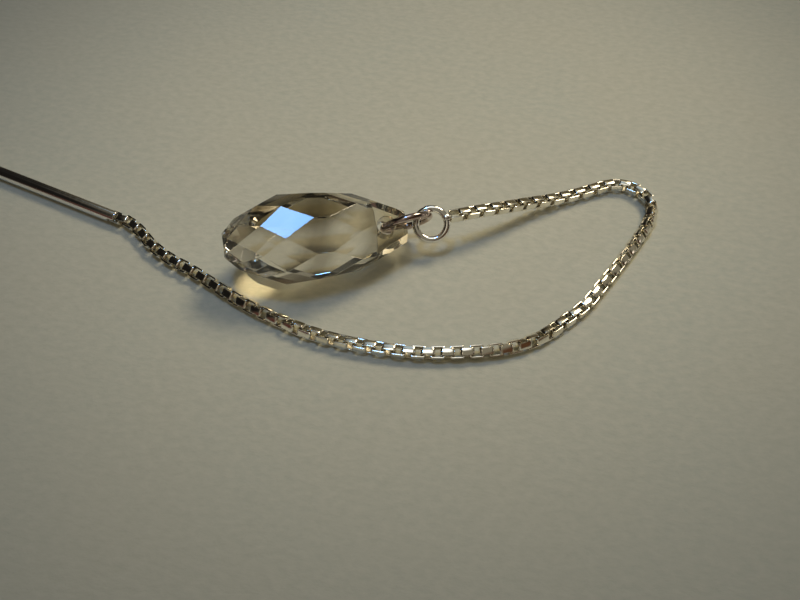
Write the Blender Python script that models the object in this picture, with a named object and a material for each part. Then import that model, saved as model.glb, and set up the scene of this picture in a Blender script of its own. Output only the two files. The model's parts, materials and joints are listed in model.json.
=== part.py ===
"""Ear threader: a round wire post, a box chain and a faceted crystal drop.

It lies on a table in a loose loop.  The frame has +X to the right along the table, +Y away
from the viewer and +Z up, with the table top at Z = 0 and the origin under the middle.
Lengths below are in millimetres.
"""
import math

import bmesh
import bpy
from mathutils import Matrix, Vector

MM = 0.001
UP = Vector((0.0, 0.0, 1.0))

# Points below are laid out from a spot beside the crystal.  The frame's origin is this point,
# under the middle of everything.
FRAME_ORIGIN = Vector((-9.66, 5.54, 0.0))

# Post: 20 gauge wire, slotted where the first link is soldered in.
POST_DIAMETER = 0.81
POST_LENGTH = 20.0
POST_TIP = Vector((-17.94, 6.52, 0.425))
POST_HEADING = math.radians(-26.8)
POST_NOSE = 0.22
POST_SLOT_DEPTH = 0.50
POST_SIDES = 16

# Box chain: each link is a flat strip folded into a square ring, turned 90 degrees to the next.
CHAIN_PAIRS = 54
LINK_PITCH = 0.545
LINK_WIDTH = 0.74
STRIP_WIDTH = 0.42
STRIP_THICKNESS = 0.115
JOINT_SLACK = 0.06
LINK_LENGTH = LINK_PITCH + 2.0 * STRIP_THICKNESS + JOINT_SLACK
FOLD_CHAMFER = 0.10
TACK_INSET = 0.12
FIT_GAP = 0.02

# Way points of the chain's middle line after the post.  It starts inside the post's slot.
CHAIN_HEIGHT = 0.425
CHAIN_START_DEPTH = 0.30
CHAIN_ROUTE = (
    (-17.20, 6.20), (-16.75, 5.85), (-16.15, 5.25), (-15.60, 4.52), (-15.05, 3.85),
    (-13.90, 2.87), (-12.60, 2.03), (-11.30, 1.08), (-9.85, -0.05), (-8.40, -1.05),
    (-6.90, -1.90), (-5.40, -2.70), (-3.65, -3.35), (-1.70, -3.85), (0.30, -4.20),
    (2.25, -4.30), (4.20, -4.20), (6.10, -3.90), (7.90, -3.20), (9.40, -2.05),
    (10.75, -0.85), (11.80, 0.55), (13.30, 2.60), (14.50, 4.30), (15.60, 6.00),
    (16.12, 7.35), (15.92, 8.52), (15.10, 9.40), (13.90, 9.62), (12.40, 9.10),
    (10.30, 8.20), (8.20, 7.20), (6.20, 6.10), (4.15, 5.20), (2.80, 4.75), (1.80, 4.45),
)
CHAIN_RISE = 1.714
CHAIN_RISE_LINKS = 18
ROUTE_STEPS = 40

# Roll of the chain about its own middle line: (link number, degrees).
CHAIN_ROLL = (
    (0, -70.0), (8, -70.0), (16, -55.0), (24, -40.0), (30, -15.0), (36, 0.0), (42, 15.0),
    (48, 35.0), (56, 78.0), (62, 105.0), (76, 145.0), (86, 180.0), (110, 180.0),
)

# Rings: round wire.  The end ring leans back, and the jump ring stands across it.
END_RING_LEAN = math.radians(41.0)
JUMP_RING_LEAN = math.radians(36.0)
RING_WIRE = 0.43
RING_STEPS = 32
RING_SIDES = 10
END_RING_RADIUS = 0.95
SOLDER_ANGLE = math.radians(25.0)
SOLDER_DIAMETER = 0.52
SOLDER_SIDES = 12
SOLDER_OVERLAP = 0.05
JUMP_RING_RADIUS = 1.45
JUMP_RING_RISE = math.radians(16.0)
JUMP_RING_DROP = math.radians(20.0)
JUMP_RING_CUT = math.radians(3.0)
JUMP_RING_CUT_AT = math.radians(100.0)

# Where the end ring's middle sits from the jump ring's: along, across and through the jump ring.
LINKED_ALONG = 1.45
LINKED_ACROSS = -0.49
LINKED_THROUGH = -0.10

# Crystal drop: its own X axis runs from the round end to the drilled tab.
CRYSTAL_LENGTH = 10.8
CRYSTAL_FOLD = 8
LONG_FACET_AT = 5.50
LONG_FACET_RADIUS = 2.48
LONG_FACET_SLOPE = -0.079
CORNERS_TO_ROUND_END = (5.15, 3.40, 2.10, 0.80, 0.22, 0.02, -0.05)
CORNERS_TO_TAB = (6.05, 7.80, 9.60, 12.00)
CRYSTAL_HEADING = math.radians(13.0)
CRYSTAL_ROLL = math.radians(22.5)
HANG_IN_HOLE = 0.10
TAB_START = 8.75
TAB_THICKNESS = 1.50
TAB_TURN = math.radians(6.0)
HOLE_AT = 9.60
HOLE_DIAMETER = 1.15
HOLE_SIDES = 20


def clear_scene():
    """Remove every object that the scene starts with."""
    for item in list(bpy.data.objects):
        bpy.data.objects.remove(item, do_unlink=True)


def make_material(name, colour, metallic, roughness, transmission=0.0):
    """Return a Principled material with one plain colour."""
    material = bpy.data.materials.new(name)
    material.use_nodes = True
    shader = material.node_tree.nodes["Principled BSDF"]
    shader.inputs["Base Color"].default_value = (*colour, 1.0)
    shader.inputs["Metallic"].default_value = metallic
    shader.inputs["Roughness"].default_value = roughness
    shader.inputs["Transmission Weight"].default_value = transmission
    material.diffuse_color = (*colour, 1.0)
    return material


def frame_at(origin, x_axis, z_hint):
    """Return a frame at origin whose X is x_axis and whose Z is as close to z_hint as it can be."""
    x_dir = x_axis.normalized()
    y_dir = z_hint.cross(x_dir).normalized()
    z_dir = x_dir.cross(y_dir)
    frame = Matrix((x_dir, y_dir, z_dir)).transposed().to_4x4()
    frame.translation = origin
    return frame


def in_metres(frame):
    """Return a layout frame in metres from the frame's origin."""
    placed = frame.copy()
    placed.translation = (frame.translation - FRAME_ORIGIN) * MM
    return placed


def add_object(name, shape, frame, material, smooth=False):
    """Turn a millimetre bmesh into a named object that sits at frame."""
    bmesh.ops.recalc_face_normals(shape, faces=shape.faces)
    bmesh.ops.scale(shape, vec=(MM, MM, MM), verts=shape.verts)
    mesh = bpy.data.meshes.new(name)
    shape.to_mesh(mesh)
    shape.free()
    mesh.materials.append(material)
    if smooth:
        mesh.shade_smooth()
    item = bpy.data.objects.new(name, mesh)
    bpy.context.collection.objects.link(item)
    item.matrix_world = in_metres(frame)
    return item


def apply_tool(target, tool, operation):
    """Cut or join a helper shape, which stays in the scene as a hidden wire outline."""
    modifier = target.modifiers.new(operation.title(), "BOOLEAN")
    modifier.operation = operation
    modifier.solver = "EXACT"
    modifier.object = tool
    tool.parent = target
    tool.matrix_parent_inverse = target.matrix_world.inverted()
    tool.hide_render = True
    tool.display_type = "WIRE"


def box_shape(size, middle):
    """Return a box bmesh."""
    shape = bmesh.new()
    bmesh.ops.create_cube(shape, size=1.0)
    bmesh.ops.scale(shape, vec=size, verts=shape.verts)
    bmesh.ops.translate(shape, vec=middle, verts=shape.verts)
    return shape


def rod_shape(diameter, start, end, sides, turn):
    """Return a round rod bmesh along its own X axis, turned about it by turn."""
    shape = bmesh.new()
    length = end - start
    to_x = Matrix.Rotation(turn, 4, "X") @ Matrix.Rotation(math.pi / 2.0, 4, "Y")
    place = Matrix.Translation((start + length / 2.0, 0.0, 0.0)) @ to_x
    bmesh.ops.create_cone(
        shape, cap_ends=True, segments=sides, radius1=diameter / 2.0,
        radius2=diameter / 2.0, depth=length, matrix=place)
    return shape


# ---------------------------------------------------------------- chain route


def smooth_route(points):
    """Return close points on a Catmull-Rom curve through the way points."""
    ends = [2.0 * points[0] - points[1]] + list(points) + [2.0 * points[-1] - points[-2]]
    curve = []
    for index in range(1, len(ends) - 2):
        before, here, there, after = ends[index - 1:index + 3]
        for step in range(ROUTE_STEPS):
            t = step / ROUTE_STEPS
            curve.append(0.5 * (
                2.0 * here + (there - before) * t
                + (2.0 * before - 5.0 * here + 4.0 * there - after) * t ** 2
                + (3.0 * here - before - 3.0 * there + after) * t ** 3))
    curve.append(points[-1])
    return curve


def post_direction():
    """Return the unit vector along the post, towards the chain."""
    return Vector((math.cos(POST_HEADING), math.sin(POST_HEADING), 0.0))


def link_crossings():
    """Return the points where neighbouring links cross, one pitch apart along the route."""
    start = POST_TIP - post_direction() * CHAIN_START_DEPTH
    middle = POST_TIP + post_direction() * CHAIN_START_DEPTH
    route = [start, middle] + [Vector((x, y, CHAIN_HEIGHT)) for x, y in CHAIN_ROUTE]
    curve = smooth_route(route)
    crossings = [curve[0]]
    cursor = 1
    while len(crossings) <= 2 * CHAIN_PAIRS and cursor < len(curve):
        reach = (curve[cursor] - crossings[-1]).length
        if reach < LINK_PITCH:
            cursor += 1
            continue
        back = (curve[cursor - 1] - crossings[-1]).length
        share = (LINK_PITCH - back) / (reach - back)
        crossings.append(curve[cursor - 1].lerp(curve[cursor], share))
    return raise_end(crossings)


def raise_end(crossings):
    """Lift the last links smoothly towards the end ring, keeping the pitch."""
    last = len(crossings) - 1
    raised = [crossings[0]]
    for index in range(1, len(crossings)):
        share = max(0.0, 1.0 - (last - index) / CHAIN_RISE_LINKS)
        height = CHAIN_HEIGHT + CHAIN_RISE * share ** 2 * (3.0 - 2.0 * share)
        flat = crossings[index] - crossings[index - 1]
        climb = height - raised[-1].z
        run = math.sqrt(LINK_PITCH ** 2 - climb ** 2)
        step = flat.normalized() * run
        raised.append(raised[-1] + step + Vector((0.0, 0.0, climb)))
    return raised


def roll_at(link):
    """Return the chain's roll at a link, in radians."""
    for (first, start), (second, end) in zip(CHAIN_ROLL, CHAIN_ROLL[1:]):
        if link <= second:
            share = (link - first) / (second - first)
            return math.radians(start + (end - start) * share)
    return math.radians(CHAIN_ROLL[-1][1])


def link_frame(crossings, link):
    """Return a link's frame at its middle, X along the chain and Y across its folded strip."""
    start = crossings[link]
    end = crossings[link + 1]
    frame = frame_at((start + end) / 2.0, end - start, UP)
    quarter = math.pi / 2.0 * (link % 2)
    return frame @ Matrix.Rotation(roll_at(link) + quarter, 4, "X")


# ---------------------------------------------------------------- chain links


def folded_strip(shape, frame):
    """Add one link to shape at frame and return its faces."""
    half_x = LINK_LENGTH / 2.0
    half_z = LINK_WIDTH / 2.0
    cut_x = half_x - FOLD_CHAMFER
    cut_z = half_z - FOLD_CHAMFER
    in_x = half_x - STRIP_THICKNESS
    in_z = half_z - STRIP_THICKNESS
    outer = ((half_x, cut_z), (cut_x, half_z), (-cut_x, half_z), (-half_x, cut_z),
             (-half_x, -cut_z), (-cut_x, -half_z), (cut_x, -half_z), (half_x, -cut_z))
    inner = ((in_x, in_z), (-in_x, in_z), (-in_x, -in_z), (in_x, -in_z))
    edges = []
    for outline in (outer, inner):
        verts = [shape.verts.new((x, -STRIP_WIDTH / 2.0, z)) for x, z in outline]
        for index, vert in enumerate(verts):
            edges.append(shape.edges.new((vert, verts[index - 1])))
    side = bmesh.ops.triangle_fill(shape, edges=edges, use_beauty=True)["geom"]
    faces = [item for item in side if isinstance(item, bmesh.types.BMFace)]
    grown = bmesh.ops.extrude_face_region(shape, geom=faces)["geom"]
    moved = [item for item in grown if isinstance(item, bmesh.types.BMVert)]
    bmesh.ops.translate(shape, vec=(0.0, STRIP_WIDTH, 0.0), verts=moved)
    verts = {vert for face in faces for vert in face.verts} | set(moved)
    link_faces = {face for vert in verts for face in vert.link_faces}
    bmesh.ops.transform(shape, matrix=frame, verts=list(verts))
    return link_faces


def inner_end(faces, frame, side):
    """Return the inside face of a link's end wall: side is 1 for the far wall, -1 for the near."""
    wall = side * (LINK_LENGTH / 2.0 - STRIP_THICKNESS)
    to_link = frame.inverted()
    for face in faces:
        if all(abs((to_link @ vert.co).x - wall) < 1e-5 for vert in face.verts):
            return face
    return None


def chain_pair(crossings, pair, material):
    """Add two neighbouring links, tacked together, whose origin is their hinge."""
    first = link_frame(crossings, 2 * pair)
    second = link_frame(crossings, 2 * pair + 1)
    hinge = first.copy()
    hinge.translation = crossings[2 * pair]
    to_pair = hinge.inverted()
    shape = bmesh.new()
    tack_edges = []
    for frame, side in ((to_pair @ first, 1), (to_pair @ second, -1)):
        face = inner_end(folded_strip(shape, frame), frame, side)
        bmesh.ops.inset_individual(shape, faces=[face], thickness=TACK_INSET)
        tack_edges.extend(face.edges)
        bmesh.ops.delete(shape, geom=[face], context="FACES_ONLY")
    bmesh.ops.bridge_loops(shape, edges=tack_edges)
    return add_object("chain_pair_%02d" % (pair + 1), shape, hinge, material)


# ---------------------------------------------------------------- post


def post(first_link, material):
    """Add the wire post, with a rounded free end and a slot for the first link."""
    frame = frame_at(POST_TIP, post_direction(), UP)
    shape = rod_shape(POST_DIAMETER, -POST_LENGTH, 0.0, POST_SIDES, math.pi / POST_SIDES)
    nose = [edge for edge in shape.edges
            if all(vert.co.x < -POST_LENGTH + FIT_GAP for vert in edge.verts)]
    bmesh.ops.bevel(shape, geom=nose, offset=POST_NOSE, segments=2, profile=0.5, affect="EDGES")
    item = add_object("post", shape, frame, material)
    slot = box_shape(
        (2.0 * POST_SLOT_DEPTH, STRIP_WIDTH + 2.0 * FIT_GAP, 2.0 * POST_DIAMETER),
        (0.0, 0.0, 0.0))
    slot_frame = first_link.copy()
    slot_frame.translation = POST_TIP
    apply_tool(item, add_object("post_slot_cut", slot, slot_frame, material), "DIFFERENCE")
    return item


# ---------------------------------------------------------------- rings


def ring_shape(radius, gap, gap_at):
    """Return a wire ring bmesh about its own Z axis, open by the angle gap."""
    shape = bmesh.new()
    place = (Matrix.Rotation(gap_at + gap / 2.0, 4, "Z")
             @ Matrix.Translation((radius, 0.0, 0.0))
             @ Matrix.Rotation(math.pi / 2.0, 4, "X"))
    bmesh.ops.create_circle(
        shape, cap_ends=False, radius=RING_WIRE / 2.0, segments=RING_SIDES, matrix=place)
    bmesh.ops.spin(
        shape, geom=shape.verts[:] + shape.edges[:], cent=(0.0, 0.0, 0.0),
        axis=(0.0, 0.0, 1.0), angle=math.tau - gap, steps=RING_STEPS,
        use_merge=(gap == 0.0))
    if gap:
        bmesh.ops.holes_fill(shape, edges=shape.edges, sides=RING_SIDES)
    return shape


def lean_axes(lean):
    """Return the right, up and forward directions of a ring that leans back from the viewer."""
    right = Vector((1.0, 0.0, 0.0))
    up = Vector((0.0, math.cos(lean), math.sin(lean)))
    forward = Vector((0.0, -math.sin(lean), math.cos(lean)))
    return right, up, forward


def jump_ring_axes():
    """Return the jump ring's directions: along it, across its plane and through it."""
    right, up, through = lean_axes(JUMP_RING_LEAN)
    along = right * math.cos(JUMP_RING_RISE) + up * math.sin(JUMP_RING_RISE)
    across = up * math.cos(JUMP_RING_RISE) - right * math.sin(JUMP_RING_RISE)
    return along, across, through


def ring_places(crossings):
    """Return the points that the rings, the solder bead and the crystal are placed by."""
    right, up, forward = lean_axes(END_RING_LEAN)
    along_chain = (crossings[-1] - crossings[-2]).normalized()
    wall_end = crossings[-1] + along_chain * (LINK_LENGTH - LINK_PITCH) / 2.0
    spoke = right * math.cos(SOLDER_ANGLE) + up * math.sin(SOLDER_ANGLE)
    solder = wall_end + along_chain * (FIT_GAP + RING_WIRE / 2.0)
    end_ring_at = solder - spoke * END_RING_RADIUS
    along, across, through = jump_ring_axes()
    jump_ring_at = (end_ring_at - along * LINKED_ALONG - across * LINKED_ACROSS
                    - through * LINKED_THROUGH)
    hole = jump_ring_at - JUMP_RING_RADIUS * (
        along * math.cos(JUMP_RING_DROP) - through * math.sin(JUMP_RING_DROP))
    crossing = jump_ring_at + along * JUMP_RING_RADIUS - end_ring_at
    hinge_spoke = (crossing - forward * crossing.dot(forward)).normalized()
    return {
        "end_ring": end_ring_at, "jump_ring": jump_ring_at, "hole": hole, "solder": solder,
        "wall_end": wall_end, "ring_hinge": end_ring_at + hinge_spoke * END_RING_RADIUS}


def end_ring(places, crossings, material):
    """Add the small closed ring with the bead of solder that holds the last link."""
    right, _, forward = lean_axes(END_RING_LEAN)
    item = add_object(
        "end_ring", ring_shape(END_RING_RADIUS, 0.0, 0.0),
        frame_at(places["end_ring"], right, forward), material, smooth=True)
    along_chain = (crossings[-1] - crossings[-2]).normalized()
    solder = places["solder"]
    near_face = (places["wall_end"] - solder).dot(along_chain) + FIT_GAP
    bead = rod_shape(SOLDER_DIAMETER, near_face, SOLDER_OVERLAP, SOLDER_SIDES, 0.0)
    bead_item = add_object("solder_bead", bead, frame_at(solder, along_chain, UP), material)
    apply_tool(item, bead_item, "UNION")
    return item


def jump_ring(places, material):
    """Add the larger open ring, whose origin is its hinge on the end ring's wire."""
    along, across, _ = jump_ring_axes()
    frame = frame_at(places["ring_hinge"], along, across)
    shape = ring_shape(JUMP_RING_RADIUS, JUMP_RING_CUT, JUMP_RING_CUT_AT)
    centre = frame.inverted() @ places["jump_ring"]
    bmesh.ops.translate(shape, vec=centre, verts=shape.verts)
    return add_object("jump_ring", shape, frame, material, smooth=True)


# ---------------------------------------------------------------- crystal


def facet_rows():
    """Return each row of facets as its distance along the drop, radius, slope and half turn.

    A facet's corners lie on rings of corners, so each row's slope follows from the row before it.
    """
    shrink = math.cos(math.pi / CRYSTAL_FOLD)
    rows = [(LONG_FACET_AT, LONG_FACET_RADIUS, LONG_FACET_SLOPE, 0.5)]
    for corners in (CORNERS_TO_ROUND_END, CORNERS_TO_TAB):
        near, far = (
            LONG_FACET_RADIUS + LONG_FACET_SLOPE * (x - LONG_FACET_AT) for x in corners[:2])
        near = near / shrink
        half_turn = 0.0
        for index in range(2, len(corners)):
            start = corners[index - 2]
            slope = (near - far * shrink) / (start - corners[index - 1])
            rows.append((start, near, slope, half_turn))
            near, far = far, near + slope * (corners[index] - start)
            half_turn = 0.5 - half_turn
    return rows


def crystal_frame(hole):
    """Return the crystal's frame at its hole, lying on one of its long facets."""
    tilt = math.atan(-LONG_FACET_SLOPE)
    flat = Vector((math.cos(CRYSTAL_HEADING), math.sin(CRYSTAL_HEADING), 0.0))
    along = flat * math.cos(tilt) - UP * math.sin(tilt)
    frame = frame_at(hole, along, UP) @ Matrix.Rotation(CRYSTAL_ROLL, 4, "X")
    return frame @ Matrix.Translation((0.0, -HANG_IN_HOLE, 0.0))


def cut_facet(shape, point, normal):
    """Grind one flat facet on a convex shape."""
    geometry = shape.verts[:] + shape.edges[:] + shape.faces[:]
    cut = bmesh.ops.bisect_plane(
        shape, geom=geometry, plane_co=point, plane_no=normal, clear_outer=True, dist=1e-6)
    edges = [item for item in cut["geom_cut"] if isinstance(item, bmesh.types.BMEdge)]
    if len(edges) > 2:
        bmesh.ops.edgeloop_fill(shape, edges=edges)


def crystal(frame, material):
    """Add the faceted drop with its flattened, drilled tab."""
    shape = rod_shape(4.0 * LONG_FACET_RADIUS, 0.0, CRYSTAL_LENGTH, 4, 0.0)
    for x, radius, slope, half_turn in facet_rows():
        for step in range(CRYSTAL_FOLD):
            angle = math.tau * (step + half_turn) / CRYSTAL_FOLD
            out = Vector((0.0, -math.sin(angle), math.cos(angle)))
            cut_facet(shape, Vector((x, 0.0, 0.0)) + out * radius,
                      out - Vector((slope, 0.0, 0.0)))
    bmesh.ops.translate(shape, vec=(-HOLE_AT, 0.0, 0.0), verts=shape.verts)
    item = add_object("crystal_drop", shape, frame, material)
    frame = frame @ Matrix.Rotation(TAB_TURN, 4, "X")
    tab_length = 2.0 * (CRYSTAL_LENGTH - TAB_START)
    for side in (1.0, -1.0):
        size = (tab_length, 3.0 * LONG_FACET_RADIUS, 2.0 * LONG_FACET_RADIUS)
        middle = (TAB_START - HOLE_AT + tab_length / 2.0, 0.0,
                  side * (LONG_FACET_RADIUS + TAB_THICKNESS / 2.0))
        flat_cut = add_object("tab_flat_cut", box_shape(size, middle), frame, material)
        apply_tool(item, flat_cut, "DIFFERENCE")
    drill = rod_shape(HOLE_DIAMETER, -LONG_FACET_RADIUS, LONG_FACET_RADIUS, HOLE_SIDES, 0.0)
    drill_frame = frame @ Matrix.Rotation(math.pi / 2.0, 4, "Y")
    apply_tool(item, add_object("hole_cut", drill, drill_frame, material), "DIFFERENCE")
    return item


def main():
    """Build the whole ear threader."""
    clear_scene()
    silver = make_material("polished_silver", (0.86, 0.85, 0.82), 1.0, 0.16)
    glass = make_material("crystal_glass", (0.93, 0.90, 0.80), 0.0, 0.03, 1.0)
    crossings = link_crossings()
    post(link_frame(crossings, 0), silver)
    for pair in range(CHAIN_PAIRS):
        chain_pair(crossings, pair, silver)
    places = ring_places(crossings)
    end_ring(places, crossings, silver)
    jump_ring(places, silver)
    crystal(crystal_frame(places["hole"]), glass)


main()
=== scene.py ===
"""Looks of the ear threader: polished silver post, box chain and rings, and a cut crystal drop.

Lengths are in millimetres until place() turns them into metres of the shared frame. Distances
of lights, the camera's clipping and the spans in materials are in metres.
"""
import json
import math

import bmesh
import bpy
from mathutils import Matrix, Vector

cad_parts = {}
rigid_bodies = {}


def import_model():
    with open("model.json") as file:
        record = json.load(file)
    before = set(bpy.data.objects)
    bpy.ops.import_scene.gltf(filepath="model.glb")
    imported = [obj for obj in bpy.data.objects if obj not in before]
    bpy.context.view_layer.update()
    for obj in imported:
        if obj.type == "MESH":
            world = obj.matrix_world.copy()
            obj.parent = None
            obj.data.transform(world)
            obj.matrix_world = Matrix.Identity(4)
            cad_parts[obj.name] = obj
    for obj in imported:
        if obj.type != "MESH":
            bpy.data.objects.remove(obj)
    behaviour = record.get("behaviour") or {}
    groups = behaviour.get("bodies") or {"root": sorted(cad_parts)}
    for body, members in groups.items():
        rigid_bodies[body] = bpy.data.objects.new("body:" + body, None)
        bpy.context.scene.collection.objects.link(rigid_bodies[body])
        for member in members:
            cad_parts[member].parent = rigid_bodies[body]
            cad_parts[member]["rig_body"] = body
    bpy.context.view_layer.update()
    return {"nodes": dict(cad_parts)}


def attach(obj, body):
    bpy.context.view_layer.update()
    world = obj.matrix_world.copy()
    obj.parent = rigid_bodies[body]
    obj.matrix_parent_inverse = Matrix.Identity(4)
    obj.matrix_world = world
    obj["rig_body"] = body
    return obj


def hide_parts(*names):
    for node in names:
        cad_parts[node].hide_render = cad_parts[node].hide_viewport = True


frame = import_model()

MM = 0.001
UP = Vector((0.0, 0.0, 1.0))
QUARTER = math.pi / 2.0
FRAME_ORIGIN = Vector((-9.66, 5.54, 0.0))

# Shared by the pieces.
FIT_GAP = 0.02
CUT_TOLERANCE = 1e-6
MERGE_WITHIN = 1e-4
ROUND_PROFILE = 0.5
WIRE_SMOOTH_BELOW = 60.0
EDGED_SMOOTH_BELOW = 40.0

# Post.
POST_RADIUS = 0.405
POST_LENGTH = 20.0
POST_TIP = Vector((-17.94, 6.52, 0.425))
POST_HEADING = math.radians(-26.8)
POST_NOSE = 0.22
POST_NOSE_STEPS = 6
POST_RIM = 0.05
POST_RIM_STEPS = 3
POST_SLOT_DEPTH = 0.50
POST_SIDES = 64

# Chain.
CHAIN_PAIRS = 54
LINK_PITCH = 0.545
LINK_WIDTH = 0.74
STRIP_WIDTH = 0.42
STRIP_THICKNESS = 0.115
LINK_PLAY = 0.06
LINK_LENGTH = LINK_PITCH + 2.0 * STRIP_THICKNESS + LINK_PLAY
LINK_CORNER = 0.15
STRIP_EDGE = 0.028
STRIP_EDGE_SOFT = 0.3
LINK_CORNER_STEPS = 5
# Which side of the strip's section is its inside, and how much is taken off it so that the
# round corners of neighbouring links stay clear when they swing.
INSIDE_FACE = 6
INSIDE_EASE = 0.014
CHAIN_HEIGHT = 0.425
CHAIN_START_DEPTH = 0.30
CHAIN_ROUTE = (
    (-17.20, 6.20), (-16.75, 5.85), (-16.15, 5.25), (-15.60, 4.52), (-15.05, 3.85),
    (-13.90, 2.87), (-12.60, 2.03), (-11.30, 1.08), (-9.85, -0.05), (-8.40, -1.05),
    (-6.90, -1.90), (-5.40, -2.70), (-3.65, -3.35), (-1.70, -3.85), (0.30, -4.20),
    (2.25, -4.30), (4.20, -4.20), (6.10, -3.90), (7.90, -3.20), (9.40, -2.05),
    (10.75, -0.85), (11.80, 0.55), (13.30, 2.60), (14.50, 4.30), (15.60, 6.00),
    (16.12, 7.35), (15.92, 8.52), (15.10, 9.40), (13.90, 9.62), (12.40, 9.10),
    (10.30, 8.20), (8.20, 7.20), (6.20, 6.10), (4.15, 5.20), (2.80, 4.75), (1.80, 4.45),
)
CHAIN_RISE = 1.714
CHAIN_RISE_LINKS = 18
ROUTE_STEPS = 40
CHAIN_ROLL = (
    (0, -70.0), (8, -70.0), (16, -55.0), (24, -40.0), (30, -15.0), (36, 0.0), (42, 15.0),
    (48, 35.0), (56, 78.0), (62, 105.0), (76, 145.0), (86, 180.0), (110, 180.0),
)

# Rings.
END_RING_LEAN = math.radians(41.0)
JUMP_RING_LEAN = math.radians(36.0)
RING_WIRE = 0.43
RING_STEPS = 144
RING_SIDES = 28
END_RING_RADIUS = 0.95
SOLDER_ANGLE = math.radians(25.0)
BEAD_RADII = (0.26, 0.285, 0.255)
BEAD_SINK = 0.04
BEAD_LUMP = 0.05
BEAD_LUMPS = (4.0, 5.0, 3.0)
BEAD_SUBDIVISIONS = 4
JUMP_RING_RADIUS = 1.45
JUMP_RING_RISE = math.radians(16.0)
JUMP_RING_DROP = math.radians(20.0)
JUMP_RING_CUT = math.radians(3.0)
JUMP_RING_CUT_AT = math.radians(100.0)
LINKED_ALONG = 1.45
LINKED_ACROSS = -0.49
LINKED_THROUGH = -0.10

# Crystal.
CRYSTAL_LENGTH = 10.8
CRYSTAL_FOLD = 8
LONG_FACET_AT = 5.50
LONG_FACET_RADIUS = 2.48
LONG_FACET_SLOPE = -0.079
CORNERS_TO_ROUND_END = (5.15, 3.40, 2.10, 0.80, 0.22, 0.02, -0.05)
CORNERS_TO_TAB = (6.05, 7.80, 9.60, 12.00)
CRYSTAL_HEADING = math.radians(13.0)
CRYSTAL_ROLL = math.radians(22.5)
HANG_IN_HOLE = 0.10
TAB_START = 8.75
TAB_THICKNESS = 1.50
TAB_TURN = math.radians(6.0)
HOLE_AT = 9.60
HOLE_DIAMETER = 1.15
HOLE_SIDES = 64
FACET_EDGE = 0.012
FACET_EDGE_ABOVE = math.radians(9.0)

# Materials.
NOISE_ROUGHNESS = 0.55

# Silver. Each finish: bright and tarnished colour, least and most roughness, scratch strength.
CHAIN_FINISH = ((0.940, 0.900, 0.800), (0.74, 0.66, 0.50), 0.06, 0.16, 0.25)
# The links' inside faces: rougher silver, with painted shade in its darker colours.
INSIDE_PAINTED_SHADE_FINISH = ((0.70, 0.64, 0.50), (0.46, 0.41, 0.31), 0.32, 0.50, 0.45)
WIRE_FINISH = ((0.950, 0.935, 0.900), (0.84, 0.79, 0.71), 0.05, 0.14, 0.20)
JUMP_RING_FINISH = ((0.56, 0.46, 0.43), (0.34, 0.26, 0.24), 0.05, 0.14, 0.20)
SOLDER_FINISH = ((0.970, 0.955, 0.920), (0.86, 0.82, 0.74), 0.14, 0.28, 0.45)
TARNISH_GRAIN = 900.0
TARNISH_DETAIL = 4.0
TARNISH_SPAN = (0.48, 0.78)
WIPE_STRETCH = (1.0, 6.0, 6.0)
WIPE_TURN = (0.3, 0.2, 0.5)
WIPE_GRAIN = 1500.0
WIPE_SPAN = (0.3, 0.75)
SCRATCH_STRETCH = (1.0, 26.0, 26.0)
SCRATCH_TURN = (0.0, 0.3, 0.9)
SCRATCH_GRAIN = 2600.0
SCRATCH_DETAIL = 2.0
SCRATCH_DEPTH = 0.000004
ROLLING_GRAIN = 2400.0
ROLLING_DETAIL = 1.0
ROLLING_STRENGTH = 0.35
ROLLING_DEPTH = 0.000012

# Glass. Spans along X and Z are in metres of the shared frame.
GLASS_CLEAR = (0.985, 0.960, 0.885)
GLASS_STREAK = (0.975, 0.945, 0.850)
GLASS_TAB = (0.80, 0.72, 0.50)
GLASS_TOP = (0.15, 0.115, 0.045)
# Painted shade: the dark colour of the bands low in the drop, a painted shadow seen through the
# glass.
GLASS_PAINTED_SHADE = (0.20, 0.175, 0.12)
GLASS_TRANSMISSION = 0.97
GLASS_IOR = 1.56
STREAK_STRETCH = (1.0, 4.0, 1.5)
STREAK_GRAIN = 500.0
STREAK_DETAIL = 5.0
STREAK_SPAN = (0.3, 0.7)
TAB_TINT_SPAN = (0.0076, 0.0088)
TAB_TINT_MOST = 0.8
TOP_TINT_SPAN = (0.0043, 0.0048)
TOP_TINT_MOST = 0.92
# The painted shade's bands: where they fade in towards the underside, and their grain.
UNDERSIDE_SPAN = (0.0030, 0.0012)
BAND_SCALE = 120.0
BAND_DISTORTION = 2.5
BAND_DETAIL = 1.0
BAND_STRETCH = (1.0, 1.0, 1.0)
BAND_TURN = (0.0, 0.3, 0.5)
BAND_SPAN = (0.15, 0.95)
BAND_MOST = 0.8
SMEAR_GRAIN = 1300.0
SMEAR_DETAIL = 6.0
SMEAR_SPAN = (0.58, 0.80)
SMEAR_ROUGHNESS = 0.035

# Paper. It darkens away from its middle, over a span in metres: painted shade, a pool of light
# painted into its colour.
PAPER_SIZE = 900.0
PAPER_BELOW = 0.02
PAPER_WARM = (0.652, 0.628, 0.478)
PAPER_COOL = (0.612, 0.620, 0.492)
PAPER_FLECK = (0.760, 0.725, 0.572)
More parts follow.
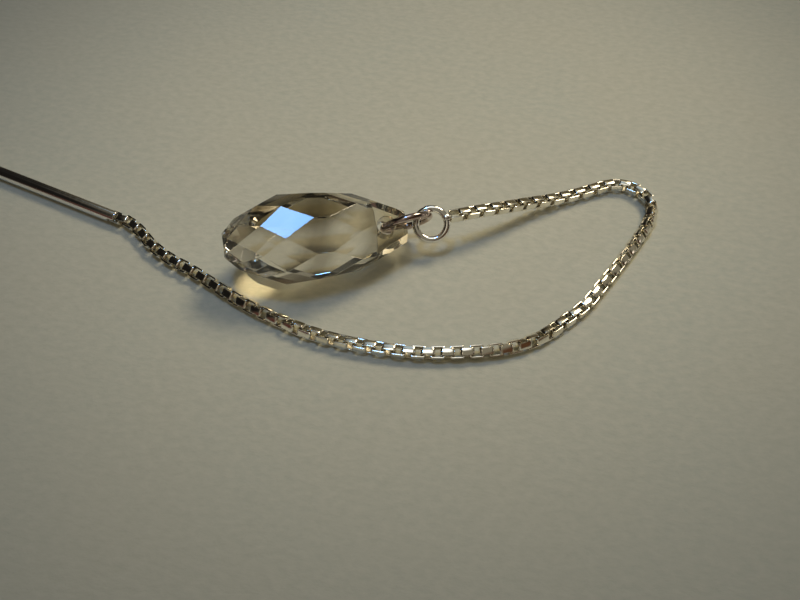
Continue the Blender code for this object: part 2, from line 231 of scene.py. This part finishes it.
# Painted shade: the colour the card fades to away from the middle of its painted pool of light.
PAPER_PAINTED_FALLOFF = (0.306, 0.304, 0.247)
PAPER_PAINTED_POOL_MIDDLE = Vector((12.0, 12.0, 0.0)) * MM
PAPER_PAINTED_FALLOFF_SPAN = (0.014, 0.056)
PAPER_ROUGHNESS = 0.85
PAPER_SHINE = 0.25
CLOUD_GRAIN = 55.0
CLOUD_DETAIL = 5.0
CLOUD_SPAN = (0.35, 0.68)
FIBRE_STRETCH = (1.0, 1.7, 1.0)
FIBRE_TURN = (0.0, 0.0, 0.5)
FIBRE_GRAIN = 1500.0
FIBRE_DETAIL = 6.0
FIBRE_SPAN = (0.30, 0.70)
FIBRE_MOST = 0.75
FIBRE_STRENGTH = 0.35
FIBRE_DEPTH = 0.00012


# ---------------------------------------------------------------- node helpers


class Nodes:
    """A short way to write a material's nodes."""

    def __init__(self, tree):
        self.tree = tree

    def add(self, kind, **values):
        """Add a node and set its properties."""
        node = self.tree.nodes.new(kind)
        for name, value in values.items():
            setattr(node, name, value)
        return node

    def link(self, source, target):
        """Join an output to an input."""
        self.tree.links.new(source, target)

    def noise(self, vector, scale, detail=3.0):
        """Return soft random noise, from 0 to 1."""
        node = self.add("ShaderNodeTexNoise")
        node.inputs["Scale"].default_value = scale
        node.inputs["Detail"].default_value = detail
        node.inputs["Roughness"].default_value = NOISE_ROUGHNESS
        self.link(vector, node.inputs["Vector"])
        return node.outputs["Fac"]

    def stretched(self, vector, factors, turn=(0.0, 0.0, 0.0)):
        """Return a place scaled and turned, for grain that runs one way."""
        node = self.add("ShaderNodeMapping")
        node.inputs["Scale"].default_value = factors
        node.inputs["Rotation"].default_value = turn
        self.link(vector, node.inputs["Vector"])
        return node.outputs["Vector"]

    def ramp(self, value, low, high, start, end):
        """Return start below low, end above high, and an even change between."""
        node = self.add("ShaderNodeMapRange")
        node.inputs["From Min"].default_value = low
        node.inputs["From Max"].default_value = high
        node.inputs["To Min"].default_value = start
        node.inputs["To Max"].default_value = end
        self.link(value, node.inputs["Value"])
        return node.outputs["Result"]

    def mix(self, factor, first, second):
        """Return a blend of two colours, each a tuple or an output."""
        node = self.add("ShaderNodeMix", data_type="RGBA")
        self.link(factor, node.inputs["Factor"])
        for socket, value in ((node.inputs["A"], first), (node.inputs["B"], second)):
            if isinstance(value, tuple):
                socket.default_value = (*value, 1.0)
            else:
                self.link(value, socket)
        return node.outputs["Result"]

    def maths(self, operation, first, second):
        """Return one sum, product or the like of two values."""
        node = self.add("ShaderNodeMath", operation=operation)
        for socket, value in zip(node.inputs, (first, second)):
            if isinstance(value, (int, float)):
                socket.default_value = value
            else:
                self.link(value, socket)
        return node.outputs["Value"]

    def bump(self, height, strength, distance, normal=None):
        """Return a normal bent by a height, on top of another normal if one is given."""
        node = self.add("ShaderNodeBump")
        node.inputs["Strength"].default_value = strength
        node.inputs["Distance"].default_value = distance
        self.link(height, node.inputs["Height"])
        if normal is not None:
            self.link(normal, node.inputs["Normal"])
        return node.outputs["Normal"]


def new_material(name):
    """Return a material, its node helper and its Principled shader."""
    material = bpy.data.materials.new(name)
    material.use_nodes = True
    nodes = Nodes(material.node_tree)
    return material, nodes, material.node_tree.nodes["Principled BSDF"]


def silver(name, bright, dull, smooth, rough, scratch):
    """Return polished silver: faint tarnish, wiping marks and fine scratches."""
    material, nodes, shader = new_material(name)
    where = nodes.add("ShaderNodeTexCoord").outputs["Object"]
    patches = nodes.noise(where, TARNISH_GRAIN, TARNISH_DETAIL)
    tarnish = nodes.ramp(patches, *TARNISH_SPAN, 0.0, 1.0)
    nodes.link(nodes.mix(tarnish, bright, dull), shader.inputs["Base Color"])
    shader.inputs["Metallic"].default_value = 1.0
    wiping = nodes.noise(nodes.stretched(where, WIPE_STRETCH, WIPE_TURN), WIPE_GRAIN)
    nodes.link(nodes.ramp(wiping, *WIPE_SPAN, smooth, rough), shader.inputs["Roughness"])
    scratches = nodes.noise(
        nodes.stretched(where, SCRATCH_STRETCH, SCRATCH_TURN), SCRATCH_GRAIN, SCRATCH_DETAIL)
    waves = nodes.noise(where, ROLLING_GRAIN, ROLLING_DETAIL)
    rolled = nodes.bump(waves, ROLLING_STRENGTH, ROLLING_DEPTH)
    nodes.link(nodes.bump(scratches, scratch, SCRATCH_DEPTH, rolled), shader.inputs["Normal"])
    return material


def cut_glass(name):
    """Return clear champagne crystal: an amber tab, an olive top, bands of painted shade towards
    its underside and faint smears.
    """
    material, nodes, shader = new_material(name)
    where = nodes.add("ShaderNodeTexCoord").outputs["Object"]
    split = nodes.add("ShaderNodeSeparateXYZ")
    nodes.link(where, split.inputs["Vector"])
    streaks = nodes.noise(
        nodes.stretched(where, STREAK_STRETCH), STREAK_GRAIN, STREAK_DETAIL)
    tint = nodes.mix(nodes.ramp(streaks, *STREAK_SPAN, 0.0, 1.0), GLASS_CLEAR, GLASS_STREAK)
    in_tab = nodes.ramp(split.outputs["X"], *TAB_TINT_SPAN, 0.0, TAB_TINT_MOST)
    tint = nodes.mix(in_tab, tint, GLASS_TAB)
    on_top = nodes.ramp(split.outputs["Z"], *TOP_TINT_SPAN, 0.0, TOP_TINT_MOST)
    tint = nodes.mix(on_top, tint, GLASS_TOP)
    # Painted shade: dark wavy bands, strongest towards the drop's underside, stand in for the
    # shadow under it seen through the glass.
    bands = nodes.add("ShaderNodeTexWave", wave_type="BANDS", bands_direction="X")
    bands.inputs["Scale"].default_value = BAND_SCALE
    bands.inputs["Distortion"].default_value = BAND_DISTORTION
    bands.inputs["Detail"].default_value = BAND_DETAIL
    nodes.link(nodes.stretched(where, BAND_STRETCH, BAND_TURN), bands.inputs["Vector"])
    under = nodes.ramp(split.outputs["Z"], *UNDERSIDE_SPAN, 0.0, 1.0)
    painted_shade = nodes.maths(
        "MULTIPLY", under, nodes.ramp(bands.outputs["Fac"], *BAND_SPAN, 0.0, BAND_MOST))
    nodes.link(nodes.mix(painted_shade, tint, GLASS_PAINTED_SHADE), shader.inputs["Base Color"])
    smears = nodes.noise(where, SMEAR_GRAIN, SMEAR_DETAIL)
    nodes.link(nodes.ramp(smears, *SMEAR_SPAN, 0.0, SMEAR_ROUGHNESS), shader.inputs["Roughness"])
    shader.inputs["Transmission Weight"].default_value = GLASS_TRANSMISSION
    shader.inputs["IOR"].default_value = GLASS_IOR
    return material


def paper(name):
    """Return matt card with soft clouds of colour and fibres, and painted shade darkening it
    towards its edges.
    """
    material, nodes, shader = new_material(name)
    where = nodes.add("ShaderNodeTexCoord").outputs["Object"]
    clouds = nodes.noise(where, CLOUD_GRAIN, CLOUD_DETAIL)
    base = nodes.mix(nodes.ramp(clouds, *CLOUD_SPAN, 0.0, 1.0), PAPER_WARM, PAPER_COOL)
    fibres = nodes.noise(
        nodes.stretched(where, FIBRE_STRETCH, FIBRE_TURN), FIBRE_GRAIN, FIBRE_DETAIL)
    flecks = nodes.mix(nodes.ramp(fibres, *FIBRE_SPAN, 0.0, FIBRE_MOST), base, PAPER_FLECK)
    # Painted shade: the card darkens with distance from the middle of a painted pool of light.
    away = nodes.add("ShaderNodeVectorMath", operation="DISTANCE")
    nodes.link(where, away.inputs[0])
    away.inputs[1].default_value = PAPER_PAINTED_POOL_MIDDLE
    edge = nodes.ramp(away.outputs["Value"], *PAPER_PAINTED_FALLOFF_SPAN, 0.0, 1.0)
    edge.node.interpolation_type = "SMOOTHSTEP"
    nodes.link(nodes.mix(edge, flecks, PAPER_PAINTED_FALLOFF), shader.inputs["Base Color"])
    shader.inputs["Roughness"].default_value = PAPER_ROUGHNESS
    shader.inputs["Specular IOR Level"].default_value = PAPER_SHINE
    nodes.link(nodes.bump(fibres, FIBRE_STRENGTH, FIBRE_DEPTH), shader.inputs["Normal"])
    return material


# ---------------------------------------------------------------- mesh helpers


def frame_at(origin, x_axis, z_hint):
    """Return a frame at origin whose X is x_axis and whose Z is as close to z_hint as it can be."""
    x_dir = x_axis.normalized()
    y_dir = z_hint.cross(x_dir).normalized()
    z_dir = x_dir.cross(y_dir)
    result = Matrix((x_dir, y_dir, z_dir)).transposed().to_4x4()
    result.translation = origin
    return result


def place(name, shape, at, material, smooth_below=None):
    """Turn a millimetre bmesh at a layout frame into an object in metres."""
    bmesh.ops.transform(shape, matrix=at, verts=shape.verts)
    bmesh.ops.recalc_face_normals(shape, faces=shape.faces)
    bmesh.ops.translate(shape, vec=-FRAME_ORIGIN, verts=shape.verts)
    bmesh.ops.scale(shape, vec=(MM, MM, MM), verts=shape.verts)
    mesh = bpy.data.meshes.new(name)
    shape.to_mesh(mesh)
    shape.free()
    mesh.materials.append(material)
    if smooth_below is not None:
        mesh.shade_smooth()
        mesh.set_sharp_from_angle(angle=math.radians(smooth_below))
    item = bpy.data.objects.new(name, mesh)
    bpy.context.scene.collection.objects.link(item)
    return item


def finish_piece(item, body, nodes):
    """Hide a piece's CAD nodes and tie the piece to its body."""
    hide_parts(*nodes)
    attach(item, body)


def apply_modifiers(item):
    """Bake an object's modifiers into its mesh."""
    graph = bpy.context.evaluated_depsgraph_get()
    mesh = bpy.data.meshes.new_from_object(item.evaluated_get(graph))
    item.modifiers.clear()
    item.data = mesh


def rod_shape(radius, start, end, sides):
    """Return a round rod bmesh along its own X axis."""
    shape = bmesh.new()
    to_x = Matrix.Rotation(QUARTER, 4, "Y")
    bmesh.ops.create_cone(
        shape, cap_ends=True, segments=sides, radius1=radius, radius2=radius,
        depth=end - start, matrix=Matrix.Translation(((start + end) / 2.0, 0.0, 0.0)) @ to_x)
    return shape


# ---------------------------------------------------------------- chain route


def smooth_route(points):
    """Return close points on a Catmull-Rom curve through the way points."""
    ends = [2.0 * points[0] - points[1]] + list(points) + [2.0 * points[-1] - points[-2]]
    curve = []
    for index in range(1, len(ends) - 2):
        before, here, there, after = ends[index - 1:index + 3]
        for step in range(ROUTE_STEPS):
            t = step / ROUTE_STEPS
            curve.append(0.5 * (
                2.0 * here + (there - before) * t
                + (2.0 * before - 5.0 * here + 4.0 * there - after) * t ** 2
                + (3.0 * here - before - 3.0 * there + after) * t ** 3))
    curve.append(points[-1])
    return curve


def post_direction():
    """Return the unit vector along the post, towards the chain."""
    return Vector((math.cos(POST_HEADING), math.sin(POST_HEADING), 0.0))


def link_crossings():
    """Return the points where neighbouring links cross, one pitch apart along the route."""
    start = POST_TIP - post_direction() * CHAIN_START_DEPTH
    middle = POST_TIP + post_direction() * CHAIN_START_DEPTH
    route = [start, middle] + [Vector((x, y, CHAIN_HEIGHT)) for x, y in CHAIN_ROUTE]
    curve = smooth_route(route)
    crossings = [curve[0]]
    cursor = 1
    while len(crossings) <= 2 * CHAIN_PAIRS and cursor < len(curve):
        reach = (curve[cursor] - crossings[-1]).length
        if reach < LINK_PITCH:
            cursor += 1
            continue
        back = (curve[cursor - 1] - crossings[-1]).length
        share = (LINK_PITCH - back) / (reach - back)
        crossings.append(curve[cursor - 1].lerp(curve[cursor], share))
    return raise_end(crossings)


def raise_end(crossings):
    """Lift the last links smoothly towards the end ring, keeping the pitch."""
    last = len(crossings) - 1
    raised = [crossings[0]]
    for index in range(1, len(crossings)):
        share = max(0.0, 1.0 - (last - index) / CHAIN_RISE_LINKS)
        height = CHAIN_HEIGHT + CHAIN_RISE * share ** 2 * (3.0 - 2.0 * share)
        flat = crossings[index] - crossings[index - 1]
        climb = height - raised[-1].z
        run = math.sqrt(LINK_PITCH ** 2 - climb ** 2)
        step = flat.normalized() * run
        raised.append(raised[-1] + step + Vector((0.0, 0.0, climb)))
    return raised


def roll_at(link):
    """Return the chain's roll at a link, in radians."""
    for (first, start), (second, end) in zip(CHAIN_ROLL, CHAIN_ROLL[1:]):
        if link <= second:
            share = (link - first) / (second - first)
            return math.radians(start + (end - start) * share)
    return math.radians(CHAIN_ROLL[-1][1])


def link_frame(crossings, link):
    """Return a link's frame at its middle, X along the chain and Y across its folded strip."""
    start = crossings[link]
    end = crossings[link + 1]
    at = frame_at((start + end) / 2.0, end - start, UP)
    turned = QUARTER * (link % 2)
    return at @ Matrix.Rotation(roll_at(link) + turned, 4, "X")


# ---------------------------------------------------------------- chain links


def link_outline():
    """Return the middle line of a folded strip with its outward directions: (x, z, dx, dz)."""
    half_x = (LINK_LENGTH - STRIP_THICKNESS) / 2.0
    half_z = (LINK_WIDTH - STRIP_THICKNESS) / 2.0
    bend = LINK_CORNER - STRIP_THICKNESS / 2.0
    line = []
    for quarter in range(4):
        middle = QUARTER * (quarter + 0.5)
        side_x = math.copysign(1.0, math.cos(middle))
        side_z = math.copysign(1.0, math.sin(middle))
        for step in range(LINK_CORNER_STEPS + 1):
            angle = middle + QUARTER * (step / LINK_CORNER_STEPS - 0.5)
            out_x, out_z = math.cos(angle), math.sin(angle)
            line.append((side_x * (half_x - bend) + bend * out_x,
                         side_z * (half_z - bend) + bend * out_z, out_x, out_z))
    return line


def strip_section():
    """Return the strip's cross section: (outward, across) with rolled edges."""
    thick = STRIP_THICKNESS / 2.0
    wide = STRIP_WIDTH / 2.0
    soft = STRIP_EDGE_SOFT * STRIP_EDGE
    corner = ((thick, wide - STRIP_EDGE), (thick - soft, wide - soft), (thick - STRIP_EDGE, wide))
    section = list(corner)
    section += [(INSIDE_EASE - out, across) for out, across in reversed(corner)]
    section += [(INSIDE_EASE - out, -across) for out, across in corner]
    section += [(out, -across) for out, across in reversed(corner)]
    return section


def add_link(shape, at):
    """Sweep the strip's section round one link."""
    rings = []
    for x, z, out_x, out_z in link_outline():
        rings.append([
            shape.verts.new(at @ Vector((x + out_x * out, across, z + out_z * out)))
            for out, across in strip_section()])
    for index, ring in enumerate(rings):
        before = rings[index - 1]
        for side in range(len(ring)):
            face = shape.faces.new(
                (before[side], ring[side], ring[side - 1], before[side - 1]))
            # The inside face takes the second material, silver darkened by painted shade.
            face.material_index = int(side == INSIDE_FACE)


def build_chain(crossings, material, inside):
    """Make each chain pair's two folded links, with painted shade on their inside faces."""
    for pair in range(CHAIN_PAIRS):
        shape = bmesh.new()
        for link in (2 * pair, 2 * pair + 1):
            add_link(shape, link_frame(crossings, link))
        name = "links_%02d" % (pair + 1)
        item = place(name, shape, Matrix.Identity(4), material, EDGED_SMOOTH_BELOW)
        item.data.materials.append(inside)
        node = "chain_pair_%02d" % (pair + 1)
        finish_piece(item, frame["nodes"][node]["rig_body"], [node])


# ---------------------------------------------------------------- post


def build_post(first_link, material):
    """Make the wire post with a rounded free end and a slot that holds the first link."""
    shape = rod_shape(POST_RADIUS, -POST_LENGTH, 0.0, POST_SIDES)
    nose = [edge for edge in shape.edges
            if all(vert.co.x < -POST_LENGTH + FIT_GAP for vert in edge.verts)]
    bmesh.ops.bevel(shape, geom=nose, offset=POST_NOSE, segments=POST_NOSE_STEPS,
                    profile=ROUND_PROFILE, affect="EDGES")
    rim = [edge for edge in shape.edges
           if all(abs(vert.co.x) < FIT_GAP for vert in edge.verts)]
    bmesh.ops.bevel(shape, geom=rim, offset=POST_RIM, segments=POST_RIM_STEPS,
                    profile=ROUND_PROFILE, affect="EDGES")
    at = frame_at(POST_TIP, post_direction(), UP)
    item = place("post_wire", shape, at, material, EDGED_SMOOTH_BELOW)
    slot = bmesh.new()
    bmesh.ops.create_cube(slot, size=1.0)
    size = (2.0 * POST_SLOT_DEPTH, STRIP_WIDTH + 2.0 * FIT_GAP, 4.0 * POST_RADIUS)
    bmesh.ops.scale(slot, vec=size, verts=slot.verts)
    slot_at = first_link.copy()
    slot_at.translation = POST_TIP
    cutter = place("slot_tool", slot, slot_at, material)
    cut_with(item, cutter)
    finish_piece(item, "post", ["post"])


def cut_with(item, cutter):
    """Cut one object by another, and remove the cutter."""
    modifier = item.modifiers.new("Cut", "BOOLEAN")
    modifier.operation = "DIFFERENCE"
    modifier.solver = "EXACT"
    modifier.object = cutter
    apply_modifiers(item)
    bpy.data.objects.remove(cutter, do_unlink=True)


# ---------------------------------------------------------------- rings


def ring_shape(radius, gap, gap_at):
    """Return a wire ring bmesh about its own Z axis, open by the angle gap."""
    shape = bmesh.new()
    at = (Matrix.Rotation(gap_at + gap / 2.0, 4, "Z")
          @ Matrix.Translation((radius, 0.0, 0.0))
          @ Matrix.Rotation(QUARTER, 4, "X"))
    bmesh.ops.create_circle(
        shape, cap_ends=False, radius=RING_WIRE / 2.0, segments=RING_SIDES, matrix=at)
    bmesh.ops.spin(
        shape, geom=shape.verts[:] + shape.edges[:], cent=(0.0, 0.0, 0.0),
        axis=(0.0, 0.0, 1.0), angle=math.tau - gap, steps=RING_STEPS,
        use_merge=(gap == 0.0))
    if gap:
        bmesh.ops.holes_fill(shape, edges=shape.edges, sides=RING_SIDES)
    return shape


def lean_axes(lean):
    """Return the right, up and forward directions of a ring that leans back from the viewer."""
    right = Vector((1.0, 0.0, 0.0))
    up = Vector((0.0, math.cos(lean), math.sin(lean)))
    forward = Vector((0.0, -math.sin(lean), math.cos(lean)))
    return right, up, forward


def jump_ring_axes():
    """Return the jump ring's directions: along it, across its plane and through it."""
    right, up, through = lean_axes(JUMP_RING_LEAN)
    along = right * math.cos(JUMP_RING_RISE) + up * math.sin(JUMP_RING_RISE)
    across = up * math.cos(JUMP_RING_RISE) - right * math.sin(JUMP_RING_RISE)
    return along, across, through


def ring_places(crossings):
    """Return the points that the rings, the solder bead and the crystal are placed by."""
    right, up, _ = lean_axes(END_RING_LEAN)
    along_chain = (crossings[-1] - crossings[-2]).normalized()
    wall_end = crossings[-1] + along_chain * (LINK_LENGTH - LINK_PITCH) / 2.0
    spoke = right * math.cos(SOLDER_ANGLE) + up * math.sin(SOLDER_ANGLE)
    solder = wall_end + along_chain * (FIT_GAP + RING_WIRE / 2.0)
    end_ring_at = solder - spoke * END_RING_RADIUS
    along, across, through = jump_ring_axes()
    jump_ring_at = (end_ring_at - along * LINKED_ALONG - across * LINKED_ACROSS
                    - through * LINKED_THROUGH)
    hole = jump_ring_at - JUMP_RING_RADIUS * (
        along * math.cos(JUMP_RING_DROP) - through * math.sin(JUMP_RING_DROP))
    return {"end_ring": end_ring_at, "jump_ring": jump_ring_at, "hole": hole,
            "solder": solder}


def build_rings(places, crossings, material, solder_material, jump_ring_material):
    """Make the end ring with its solder, and the open jump ring."""
    right, _, forward = lean_axes(END_RING_LEAN)
    ring = place("end_ring_wire", ring_shape(END_RING_RADIUS, 0.0, 0.0),
                 frame_at(places["end_ring"], right, forward), material, WIRE_SMOOTH_BELOW)
    finish_piece(ring, "chain_end", ["end_ring"])
    along_chain = (crossings[-1] - crossings[-2]).normalized()
    bead = bmesh.new()
    bmesh.ops.create_icosphere(bead, subdivisions=BEAD_SUBDIVISIONS, radius=1.0)
    for vert in bead.verts:
        x, y, z = vert.co
        wave_x, wave_y, wave_z = BEAD_LUMPS
        lump = 1.0 + BEAD_LUMP * math.sin(wave_y * y + wave_z * z) * math.cos(wave_x * x)
        vert.co = Vector(side * radius for side, radius in zip(vert.co, BEAD_RADII)) * lump
    middle = places["solder"] - along_chain * BEAD_SINK
    solder = place("end_solder", bead, frame_at(middle, along_chain, UP), solder_material,
                   WIRE_SMOOTH_BELOW)
    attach(solder, "chain_end")
    along, across, _ = jump_ring_axes()
    ring = place("jump_ring_wire",
                 ring_shape(JUMP_RING_RADIUS, JUMP_RING_CUT, JUMP_RING_CUT_AT),
                 frame_at(places["jump_ring"], along, across), jump_ring_material,
                 WIRE_SMOOTH_BELOW)
    finish_piece(ring, "jump_ring", ["jump_ring"])


# ---------------------------------------------------------------- crystal


def facet_rows():
    """Return each row of facets as its distance along the drop, radius, slope and half turn."""
    shrink = math.cos(math.pi / CRYSTAL_FOLD)
    rows = [(LONG_FACET_AT, LONG_FACET_RADIUS, LONG_FACET_SLOPE, 0.5)]
    for corners in (CORNERS_TO_ROUND_END, CORNERS_TO_TAB):
        near, far = (
            LONG_FACET_RADIUS + LONG_FACET_SLOPE * (x - LONG_FACET_AT) for x in corners[:2])
        near = near / shrink
        half_turn = 0.0
        for index in range(2, len(corners)):
            start = corners[index - 2]
            slope = (near - far * shrink) / (start - corners[index - 1])
            rows.append((start, near, slope, half_turn))
            near, far = far, near + slope * (corners[index] - start)
            half_turn = 0.5 - half_turn
    return rows


def crystal_frame(hole):
    """Return the crystal's frame at its hole, lying on one of its long facets."""
    tilt = math.atan(-LONG_FACET_SLOPE)
    flat = Vector((math.cos(CRYSTAL_HEADING), math.sin(CRYSTAL_HEADING), 0.0))
    along = flat * math.cos(tilt) - UP * math.sin(tilt)
    at = frame_at(hole, along, UP) @ Matrix.Rotation(CRYSTAL_ROLL, 4, "X")
    return at @ Matrix.Translation((0.0, -HANG_IN_HOLE, 0.0))


def cut_facet(shape, point, normal):
    """Grind one flat facet on a convex shape."""
    geometry = shape.verts[:] + shape.edges[:] + shape.faces[:]
    cut = bmesh.ops.bisect_plane(
        shape, geom=geometry, plane_co=point, plane_no=normal, clear_outer=True,
        dist=CUT_TOLERANCE)
    edges = [item for item in cut["geom_cut"] if isinstance(item, bmesh.types.BMEdge)]
    if len(edges) > 2:
        bmesh.ops.edgeloop_fill(shape, edges=edges)


def build_crystal(hole, material):
    """Make the cut drop with its flattened, drilled tab and finely eased facet edges."""
    shape = rod_shape(2.0 * LONG_FACET_RADIUS, 0.0, CRYSTAL_LENGTH, 4)
    for x, radius, slope, half_turn in facet_rows():
        for step in range(CRYSTAL_FOLD):
            angle = math.tau * (step + half_turn) / CRYSTAL_FOLD
            out = Vector((0.0, -math.sin(angle), math.cos(angle)))
            cut_facet(shape, Vector((x, 0.0, 0.0)) + out * radius,
                      out - Vector((slope, 0.0, 0.0)))
    bmesh.ops.translate(shape, vec=(-HOLE_AT, 0.0, 0.0), verts=shape.verts)
    bmesh.ops.remove_doubles(shape, verts=shape.verts, dist=MERGE_WITHIN)
    at = crystal_frame(hole)
    item = place("crystal_cut", shape, at, material)
    tab = at @ Matrix.Rotation(TAB_TURN, 4, "X")
    tab_length = 2.0 * (CRYSTAL_LENGTH - TAB_START)
    for side in (1.0, -1.0):
        block = bmesh.new()
        bmesh.ops.create_cube(block, size=1.0)
        size = (tab_length, 3.0 * LONG_FACET_RADIUS, 2.0 * LONG_FACET_RADIUS)
        bmesh.ops.scale(block, vec=size, verts=block.verts)
        middle = (TAB_START - HOLE_AT + tab_length / 2.0, 0.0,
                  side * (LONG_FACET_RADIUS + TAB_THICKNESS / 2.0))
        bmesh.ops.translate(block, vec=middle, verts=block.verts)
        cut_with(item, place("tab_tool", block, tab, material))
    drill = rod_shape(HOLE_DIAMETER / 2.0, -LONG_FACET_RADIUS, LONG_FACET_RADIUS, HOLE_SIDES)
    drill_at = tab @ Matrix.Rotation(QUARTER, 4, "Y")
    cut_with(item, place("hole_tool", drill, drill_at, material))
    bevel = item.modifiers.new("Eased edges", "BEVEL")
    bevel.width = FACET_EDGE * MM
    bevel.segments = 1
    bevel.limit_method = "ANGLE"
    bevel.angle_limit = FACET_EDGE_ABOVE
    apply_modifiers(item)
    finish_piece(item, "crystal", ["crystal_drop"])


# ---------------------------------------------------------------- stage


def toward(azimuth, elevation):
    """Return a direction: azimuth from +Y towards +X, elevation from the table."""
    az = math.radians(azimuth)
    el = math.radians(elevation)
    return Vector((math.sin(az) * math.cos(el), math.cos(az) * math.cos(el), math.sin(el)))


AIM = Vector((9.66, -5.54, 0.0)) * MM
BRIGHT_FACET = Vector((2.3, -1.2, 4.6)) * MM
GLINT = Vector((1.1, -4.3, 0.0)) * MM
LAMP_POOL = AIM + Vector((3.0, 9.0, 0.0)) * MM
CAMERA_AT = Vector((9.66, -41.01, 40.72)) * MM
CAMERA_LENS = 41.15
SENSOR_WIDTH = 36.0
CLIP_FROM = 0.001
CLIP_TO = 10.0
ROOM_COLOUR = (0.185, 0.168, 0.125)

# Soft patches of the room: azimuth from +Y towards +X, elevation, inner and outer radius in
# degrees, colour.
ROOM_PATCHES = (
    (-88.0, 28.0, 30.0, 52.0, (0.008, 0.007, 0.006)),
    (-40.0, 40.0, 14.0, 30.0, (0.010, 0.009, 0.008)),
    (-18.0, 20.0, 12.0, 22.0, (0.016, 0.014, 0.011)),
    (-138.0, 8.0, 10.0, 22.0, (0.070, 0.024, 0.018)),
    (112.0, 27.0, 17.0, 28.0, (0.010, 0.009, 0.007)),
    (89.0, 11.0, 3.0, 7.0, (1.45, 1.25, 1.08)),
    (11.0, 46.5, 3.0, 7.0, (1.15, 0.93, 0.56)),
    (-161.0, 57.0, 3.0, 8.0, (1.10, 0.95, 0.75)),
    (145.0, 15.0, 14.0, 34.0, (0.075, 0.036, 0.018)),
    (18.0, 27.0, 12.0, 26.0, (0.100, 0.084, 0.050)),
    (2.0, 59.0, 6.0, 14.0, (0.38, 0.47, 0.54)),
    (20.0, 88.0, 7.0, 17.0, (1.55, 1.56, 1.50)),
    (-21.0, 1.0, 2.0, 7.0, (1.60, 1.40, 1.05)),
)


def soft_box(name, middle, azimuth, elevation, distance, size, colour, radiance):
    """Add a square area light that faces a point, with a given surface brightness."""
    data = bpy.data.lights.new(name, "AREA")
    data.size = size
    data.color = colour
    data.energy = radiance * math.pi * size ** 2
    item = bpy.data.objects.new(name, data)
    direction = toward(azimuth, elevation)
    item.location = middle + direction * distance
    item.rotation_euler = direction.to_track_quat("Z", "Y").to_euler()
    bpy.context.scene.collection.objects.link(item)


def spot(name, middle, azimuth, elevation, distance, radius, cone, colour, power):
    """Add a spot lamp whose pool of light fades towards its edge."""
    data = bpy.data.lights.new(name, "SPOT")
    data.shadow_soft_size = radius
    data.spot_size = math.radians(cone)
    data.spot_blend = 1.0
    data.color = colour
    data.energy = power
    item = bpy.data.objects.new(name, data)
    direction = toward(azimuth, elevation)
    item.location = middle + direction * distance
    item.rotation_euler = direction.to_track_quat("Z", "Y").to_euler()
    bpy.context.scene.collection.objects.link(item)


def lobe(nodes, where, azimuth, elevation, inner, outer):
    """Return how far a direction lies inside a soft round patch of the room, from 0 to 1."""
    dot = nodes.add("ShaderNodeVectorMath", operation="DOT_PRODUCT")
    nodes.link(where, dot.inputs[0])
    dot.inputs[1].default_value = toward(azimuth, elevation)
    edges = [math.cos(math.radians(angle)) for angle in (outer, inner)]
    return nodes.ramp(dot.outputs["Value"], edges[0], edges[1], 0.0, 1.0)


def build_world():
    """Surround the stage with a dim warm room and its soft lighter and darker patches."""
    world = bpy.data.worlds.new("room")
    bpy.context.scene.world = world
    world.use_nodes = True
    nodes = Nodes(world.node_tree)
    background = world.node_tree.nodes["Background"]
    where = nodes.add("ShaderNodeTexCoord").outputs["Generated"]
    colour = ROOM_COLOUR
    for azimuth, elevation, inner, outer, paint in ROOM_PATCHES:
        colour = nodes.mix(lobe(nodes, where, azimuth, elevation, inner, outer), colour, paint)
    nodes.link(colour, background.inputs["Color"])
    background.inputs["Strength"].default_value = 1.0


def build_lights():
    """Hang the window's light over the bright facet, the main lamp and a small glint lamp."""
    soft_box("window_top", BRIGHT_FACET, azimuth=-88.0, elevation=83.0, distance=0.26,
             size=0.034, colour=(0.14, 0.42, 1.0), radiance=24.0)
    spot("lamp", LAMP_POOL, azimuth=42.0, elevation=50.0, distance=0.20,
         radius=0.042, cone=30.0, colour=(1.0, 0.86, 0.62), power=0.9)
    spot("glint_on_paper", GLINT, azimuth=-128.0, elevation=62.0, distance=0.12,
         radius=0.0002, cone=1.4, colour=(1.0, 0.80, 0.50), power=0.60)


def build_camera():
    """Set the camera over the near side of the table, aimed at the middle of the loop."""
    camera_data = bpy.data.cameras.new("camera")
    camera_data.lens = CAMERA_LENS
    camera_data.sensor_width = SENSOR_WIDTH
    camera_data.clip_start = CLIP_FROM
    camera_data.clip_end = CLIP_TO
    camera = bpy.data.objects.new("camera", camera_data)
    camera.location = CAMERA_AT
    camera.rotation_euler = (AIM - camera.location).to_track_quat("-Z", "Y").to_euler()
    bpy.context.scene.collection.objects.link(camera)
    bpy.context.scene.camera = camera


def build_stage():
    """Lay the card, then add the room, the lights and the camera."""
    shape = bmesh.new()
    bmesh.ops.create_grid(shape, x_segments=1, y_segments=1, size=PAPER_SIZE)
    under_all = Matrix.Translation((0.0, 0.0, -PAPER_BELOW))
    floor = place("paper_sheet", shape, under_all, paper("paper"))
    build_world()
    build_lights()
    build_camera()
    bpy.context.scene.view_settings.view_transform = "Standard"


def main():
    """Build every piece, then the stage."""
    chain_silver = silver("chain_silver", *CHAIN_FINISH)
    wire_silver = silver("wire_silver", *WIRE_FINISH)
    ring_silver = silver("jump_ring_silver", *JUMP_RING_FINISH)
    solder_silver = silver("solder_silver", *SOLDER_FINISH)
    # Silver for the links' inside faces, darkened by painted shade.
    painted_shade_silver = silver("painted_shade_silver", *INSIDE_PAINTED_SHADE_FINISH)
    crossings = link_crossings()
    places = ring_places(crossings)
    build_post(link_frame(crossings, 0), wire_silver)
    build_chain(crossings, chain_silver, painted_shade_silver)
    build_rings(places, crossings, wire_silver, solder_silver, ring_silver)
    build_crystal(places["hole"], cut_glass("champagne_crystal"))
    build_stage()


main()
